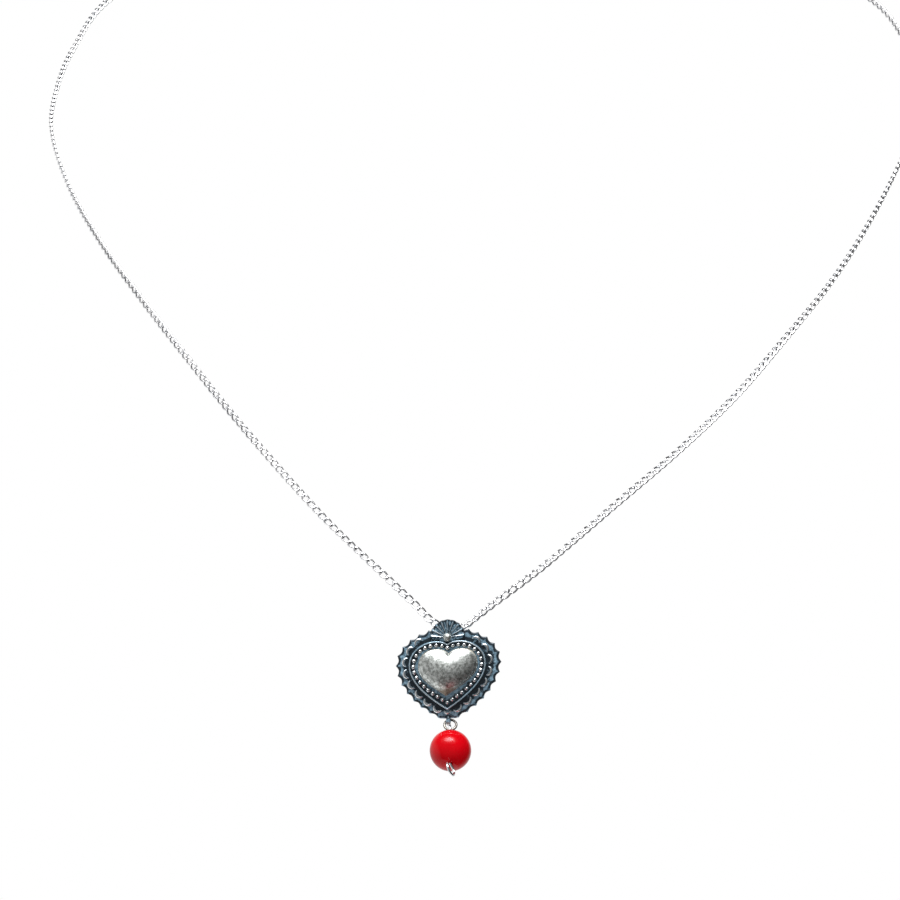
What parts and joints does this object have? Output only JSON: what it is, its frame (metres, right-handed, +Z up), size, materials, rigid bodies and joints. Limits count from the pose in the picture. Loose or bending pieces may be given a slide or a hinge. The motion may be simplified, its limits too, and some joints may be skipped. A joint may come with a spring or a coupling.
{
  "type": "heart pendant",
  "caption": "Folk heart pendant on a fine curb chain: toothed and granulated silver heart with a domed centre and fan crest, and a red bead that dangles from its tip.",
  "frame": {"origin": "the nape: the middle of the clasp's spring ring, where the necklace hangs", "axes": "+Z up, -Y to the front where the heart's face looks, +X to the right as seen from the front"},
  "size_m": [0.1505, 0.1307, 0.1481],
  "materials": {
    "chain_silver": "polished",
    "oxidised_silver": "oxidised in the hollows, worn bright on the ridges",
    "polished_silver": "hand polished, lightly scratched",
    "dangle_silver": "drawn wire, satin",
    "red_bead": "gloss"
  },
  "bodies": {
    "chain": {"chain_left": "chain_silver", "chain_right": "chain_silver", "clasp_jump_ring": "chain_silver", "clasp_eye": "chain_silver", "clasp_ring": "chain_silver", "end_ring": "chain_silver"},
    "clasp_gate": {"clasp_bolt": "chain_silver"},
    "heart": {"bail_tube": "oxidised_silver", "back_plate": "oxidised_silver", "scallop_border": "oxidised_silver", "tray": "oxidised_silver", "rim": "oxidised_silver", "granules": "oxidised_silver", "dome_heart": "polished_silver", "fan_plate": "oxidised_silver", "fan_rays": "oxidised_silver", "fan_ball": "polished_silver", "tip_eyelet": "oxidised_silver"},
    "ring": {"drop_ring": "dangle_silver"},
    "dangle": {"eye_wire": "dangle_silver"},
    "bead": {"coral_bead": "red_bead"}
  },
  "joints": [
    {"name": "clasp_slide", "type": "hinge", "parent": "chain", "child": "clasp_gate", "pos_m": [0, 0, 0], "axis": [0, -1, 0], "range_deg": [0, 56], "stiffness_Nm_per_rad": 0.002},
    {"name": "heart_swing", "type": "hinge", "parent": "chain", "child": "heart", "pos_m": [0, -0.118, -0.125], "axis": [-1, 0, 0], "range_deg": [-90, 35]},
    {"name": "ring_swing", "type": "hinge", "parent": "heart", "child": "ring", "pos_m": [0.00013, -0.1199, -0.13773], "axis": [-1, 0, 0], "range_deg": [-50, 30]},
    {"name": "dangle_swing", "type": "hinge", "parent": "ring", "child": "dangle", "pos_m": [0.00043, -0.12098, -0.13902], "axis": [-1, 0, 0], "range_deg": [-77, 43]},
    {"name": "bead_spin", "type": "hinge", "parent": "dangle", "child": "bead", "pos_m": [0.00068, -0.12497, -0.14161], "axis": [0.0523, -0.8375, -0.5439], "continuous": true}
  ]
}
